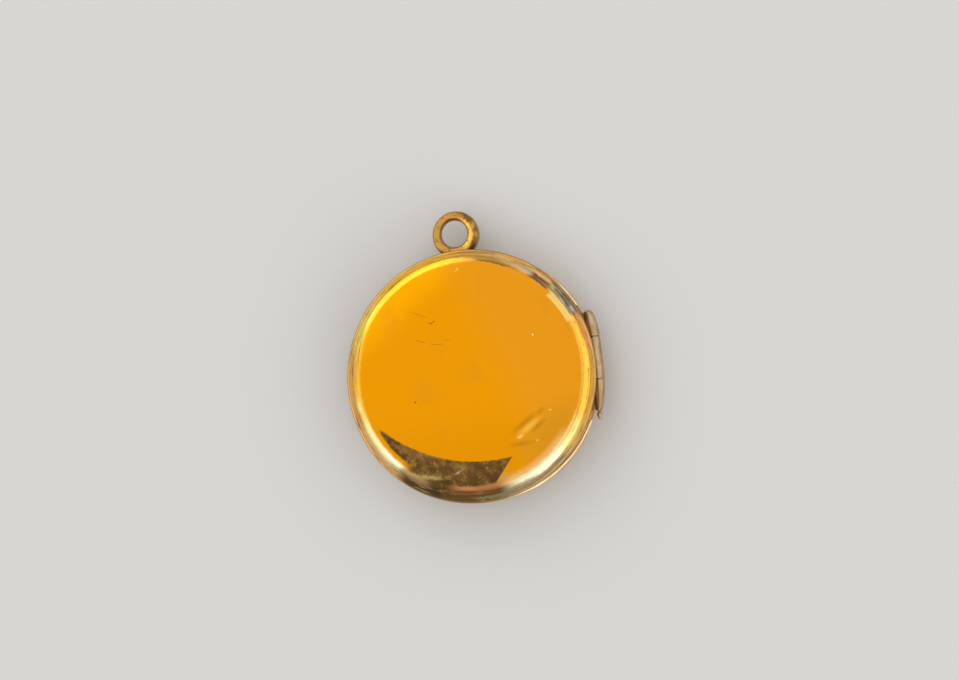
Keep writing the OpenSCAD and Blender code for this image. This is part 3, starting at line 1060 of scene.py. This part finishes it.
def add_rim_lines(paint, colour, streaks):
    """Draws dark and light lines along the rim over a colour, and painted shade on the bead's nose."""
    on_rim = paint.step(paint.radius, 11.3, 11.7)
    colour = paint.tint(colour, BROWN, paint.both(paint.step(streaks, 0.54, 0.64), on_rim), 0.6)
    colour = paint.tint(colour, CREAM_GOLD, paint.both(paint.step(streaks, 0.42, 0.34), on_rim), 0.5)
    # Painted shade on the bead's nose
    return paint.tint(colour, NOSE_SHADE, paint.step(paint.radius, 12.36, 12.46), 0.7)


def add_tarnish_and_reflections(paint, colour, roughness, fine):
    """Draws the crescent, partly a painted dark reflection, the streak below it, the dark line at the left
    and the painted reflection of a bar at the upper right.
    """
    ragged = paint.calc("MULTIPLY_ADD", fine, 0.24, -0.12)
    tarnish_and_reflection, border = crescent(paint, ragged)
    colour = paint.tint(colour, crescent_brown(paint, border), tarnish_and_reflection, 0.96)
    streak = slanted_band(paint, **PALE_STREAK, ragged=ragged)
    colour = paint.tint(colour, STREAK_OLIVE, paint.both(streak, paint.step(fine, 0.28, 0.52)), 0.9)
    colour = paint.tint(colour, OLIVE, slanted_band(paint, **LEFT_DARK_LINE), 0.7)
    colour = paint.tint(colour, BAR_REFLECTION_GOLD, slanted_band(paint, **BAR_REFLECTION), 0.95)
    return colour, paint.lerp(tarnish_and_reflection, roughness, 0.32)


def cover_gold():
    """The cover's gold: warm on the face, worn pale at the shoulder, with painted highlights, shade and
    reflections on face and rim, and a tarnished crescent below that is partly a painted dark reflection.
    """
    paint = Paint("cover_gold")
    fine = paint.noise(0.5, 5, 0.65, seed=2.0)
    streaks = rim_streaks(paint, 5.5)
    colour = add_marks(paint, face_colour(paint), FACE_MARKS)
    wobble = paint.calc("MULTIPLY_ADD", paint.noise(1.3, 4, 0.6, seed=5.0), 0.5, -0.25)
    rim = paint.step(paint.calc("ADD", paint.radius, wobble), 11.15, 11.6)
    colour = paint.mix(rim, colour, paint.mix(paint.step(streaks, 0.35, 0.65), RIM_GOLD, TAN_GOLD))
    colour, roughness = add_patches(paint, colour, paint.lerp(rim, 0.13, 0.22), streaks)
    colour = add_rim_lines(paint, colour, streaks)
    colour, roughness = add_tarnish_and_reflections(paint, colour, roughness, fine)
    normal, hairs, rubbed = micro_scratches(paint)
    colour = paint.tint(colour, HONEY_GOLD, hairs, HAIR_STRENGTH)
    roughness = paint.calc("MULTIPLY_ADD", paint.step(rubbed, 0.4, 0.7), 0.06, roughness)
    colour, roughness = add_band_shade_and_grime(paint, colour, roughness, fine)
    colour, roughness = add_inside(paint, colour, roughness, 1)
    return paint.finish(colour, roughness, paint.bump(paint.both(rim, streaks), STREAK_DEPTH, normal))


def case_gold():
    """The back's gold: pale on the bead, rubbed and as a painted highlight, with painted shade on the side
    band and dark grime in the seam.
    """
    paint = Paint("case_gold")
    fine = paint.noise(0.5, 5, 0.65, seed=2.5)
    cloud = paint.noise(4.0, 4, 0.55, seed=4.0)
    streaks = rim_streaks(paint, 6.5)
    colour = paint.mix(paint.step(cloud, 0.4, 0.65), FACE_GOLD, HAZY_GOLD)
    rim = paint.step(paint.radius, 11.3, 12.0)
    # The pale cream on the bead is rubbed metal and a painted highlight
    colour = paint.mix(rim, colour, paint.mix(paint.step(streaks, 0.4, 0.6), BEAD_HIGHLIGHT_CREAM, TAN_GOLD))
    normal, hairs, rubbed = micro_scratches(paint)
    colour = paint.tint(colour, HONEY_GOLD, hairs, HAIR_STRENGTH)
    colour, roughness = add_band_shade_and_grime(paint, colour, paint.lerp(rubbed, 0.16, 0.3), fine)
    colour, roughness = add_inside(paint, colour, roughness, -1)
    return paint.finish(colour, roughness, paint.bump(paint.both(rim, streaks), STREAK_DEPTH, normal))


def ring_gold():
    """The ring's brown-gold, with painted highlights at its inner right and along its outer right edge,
    painted shade at its outer right, and painted grey-brown shade in its hole.
    """
    paint = Paint("ring_gold")
    fine = paint.noise(0.35, 5, 0.65, seed=6.0)
    broad = paint.noise(1.1, 3, 0.5, seed=6.5)
    reach = paint.distance_from(RING_MIDDLE.x, RING_MIDDLE.y)
    colour = paint.mix(paint.step(broad, 0.3, 0.7), RING_GOLD, RING_ORANGE)
    right = paint.step(paint.calc("MULTIPLY_ADD", fine, 0.8, paint.x), 0.6, 1.6)
    inner = paint.step(paint.calc("MULTIPLY_ADD", fine, 0.3, reach), 2.05, 1.8)
    # Painted highlight at the inner right
    colour = paint.tint(colour, RING_HIGHLIGHT, paint.both(right, inner))
    # Painted shade at the outer right
    outer = paint.step(paint.calc("MULTIPLY_ADD", fine, 0.4, reach), 1.95, 2.2)
    colour = paint.tint(colour, RING_SHADE, paint.both(right, outer, paint.step(broad, 0.3, 0.5)))
    colour = paint.tint(colour, BROWN, paint.step(fine, 0.5, 0.66), 0.65)
    # Painted highlight along the outer right edge
    edge = paint.both(paint.step(paint.x, 0.4, 1.4), paint.step(reach, 2.26, 2.34))
    colour = paint.tint(colour, RING_EDGE_HIGHLIGHT, edge, 0.7)
    # Painted grey-brown shade on the wall of the hole
    hole_reach = paint.distance_from(RING_HOLE.x, RING_HOLE.y)
    colour = paint.tint(colour, RING_HOLE_SHADE, paint.step(hole_reach, 1.44, 1.36))
    # Painted glints of pale gold on the right
    colour = paint.tint(colour, PALE_GOLD, paint.both(right, paint.step(fine, 0.42, 0.3)))
    return paint.finish(colour, paint.lerp(broad, 0.24, 0.4), paint.bump(fine, 0.05))


def knuckle_gold():
    """The knuckles' dull worn gold, with a painted highlight on the slope that faces the case."""
    paint = Paint("knuckle_gold")
    fine = paint.noise(0.4, 5, 0.6, (1, 3, 1), seed=8.0)
    colour = paint.mix(paint.step(fine, 0.4, 0.62), KNUCKLE_BROWN, KNUCKLE_TAN)
    colour = paint.tint(colour, OLIVE, paint.step(fine, 0.62, 0.72), 0.5)
    # A painted highlight on the slope that faces the case
    inner_slope = paint.step(paint.vector("DOT_PRODUCT", paint.normal, (-1, 0, 0)), 0.1, 0.6)
    colour = paint.tint(colour, KNUCKLE_HIGHLIGHT, inner_slope)
    return paint.finish(colour, paint.lerp(fine, 0.34, 0.46), paint.bump(fine, 0.008))


def pin_steel():
    """The hidden pin's drawn wire."""
    paint = Paint("pin_steel")
    lines = paint.noise(0.1, 3, 0.5, (1, 12, 1), seed=11.0)
    colour = paint.mix(lines, PIN_DARK, PIN_LIGHT)
    return paint.finish(colour, paint.lerp(lines, 0.3, 0.45), paint.bump(lines, 0.004))


cover_metal = cover_gold()
case_metal = case_gold()
ring_metal = ring_gold()
knuckle_metal = knuckle_gold()
finish_piece(cover_shell(), "cover", "front_cover", cover_metal)
finish_piece(middle_knuckle(), "cover", "front_cover", knuckle_metal)
finish_piece(back_shell(), "case", "back_case", case_metal)
finish_piece(hanging_ring(), "case", "back_case", ring_metal)
upper = outer_knuckle("upper_knuckle", MID_HIGH_Y + KNUCKLE_GAP, UPPER_END_Y)
finish_piece(upper, "case", "back_case", knuckle_metal)
lower = outer_knuckle("lower_knuckle", MID_LOW_Y - KNUCKLE_GAP, -HINGE_HALF, [lump(*NUB)])
finish_piece(lower, "case", "back_case", knuckle_metal)
pin = frame["nodes"]["hinge_pin"]
pin.data.materials.clear()
pin.data.materials.append(pin_steel())

# Camera: the picture's scale, its lean off the vertical and the way the object is turned in it
FIELD = 94.67
CAMERA_DISTANCE = 250
CAMERA_LEAN = 12
LEAN_TOWARDS = -16
AIM_RIGHT = 0.89
AIM_UP = 3.55
SENSOR = 36.0
CLIP_START = 0.01
CLIP_END = 10

# Softboxes: direction in the picture and tilt in degrees, width, height and distance in metres, brightness
SOFTBOXES = (
    ("overhead", 164, 8, 1.0, 1.0, 0.5, 0.66),
    ("upper_left", 132, 62, 0.6, 0.34, 0.6, 1.0),
    ("left", 178, 66, 0.3, 0.3, 0.6, 0.5),
    ("lower_left", 208, 58, 0.34, 0.36, 0.6, 0.7),
    ("key", 302, 64, 0.34, 0.36, 0.6, 1.4),
    ("right", 352, 63, 0.7, 0.4, 0.6, 0.95),
    ("top", 52, 62, 0.5, 0.3, 0.6, 0.75),
)

# The table top, in metres, and the room's grey
FLOOR_HALF = 1.5
FLOOR_COLOUR = (0.6, 0.585, 0.56, 1)
FLOOR_ROUGHNESS = 0.7
ROOM_GREY = (0.46, 0.46, 0.46, 1)


def picture_direction(angle, tilt):
    """Unit vector towards an angle in the picture, tilted off the vertical, both in degrees."""
    a = math.radians(angle - TURN)
    t = math.radians(tilt)
    return Vector((math.sin(t) * math.cos(a), math.sin(t) * math.sin(a), math.cos(t)))


def add_camera():
    """The camera at the photograph's angle."""
    right = picture_direction(0, 90)
    up = picture_direction(90, 90)
    target = Vector((0, 0, SEAM_Z + BEAD_SPAN / 2)) + right * AIM_RIGHT + up * AIM_UP
    back_axis = picture_direction(LEAN_TOWARDS, CAMERA_LEAN)
    up_axis = (up - back_axis * up.dot(back_axis)).normalized()
    right_axis = up_axis.cross(back_axis)
    data = bpy.data.cameras.new("camera")
    data.sensor_width = SENSOR
    data.lens = SENSOR * CAMERA_DISTANCE / FIELD
    data.clip_start = CLIP_START
    data.clip_end = CLIP_END
    camera = link("camera", data)
    turn = Matrix((right_axis, up_axis, back_axis)).transposed().to_4x4()
    camera.matrix_world = Matrix.Translation((target + back_axis * CAMERA_DISTANCE) * MM) @ turn
    bpy.context.scene.camera = camera


def softbox(name, angle, tilt, width, height, distance, radiance):
    """A white soft light in a direction from the object, facing it."""
    data = bpy.data.lights.new(name, "AREA")
    data.shape = "RECTANGLE"
    data.size = width
    data.size_y = height
    data.energy = radiance * math.pi * width * height
    towards = picture_direction(angle, tilt)
    light = link(name, data)
    light.location = towards * distance
    light.rotation_mode = "QUATERNION"
    light.rotation_quaternion = towards.to_track_quat("Z", "Y")


def add_floor():
    """A plain pale table top."""
    half = FLOOR_HALF
    mesh = bpy.data.meshes.new("floor")
    corners = [(-half, -half, 0), (half, -half, 0), (half, half, 0), (-half, half, 0)]
    mesh.from_pydata(corners, [], [(0, 1, 2, 3)])
    material = bpy.data.materials.new("floor")
    material.use_nodes = True
    shader = material.node_tree.nodes["Principled BSDF"]
    shader.inputs["Base Color"].default_value = FLOOR_COLOUR
    shader.inputs["Roughness"].default_value = FLOOR_ROUGHNESS
    mesh.materials.append(material)
    link("floor", mesh)


def add_light():
    """The softboxes, a big one over the object and smaller ones round it, and a plain grey room."""
    for row in SOFTBOXES:
        softbox(*row)
    world = bpy.data.worlds.new("room")
    world.use_nodes = True
    world.node_tree.nodes["Background"].inputs["Color"].default_value = ROOM_GREY
    bpy.context.scene.world = world


add_camera()
add_light()
add_floor()
bpy.context.scene.view_settings.view_transform = "Standard"
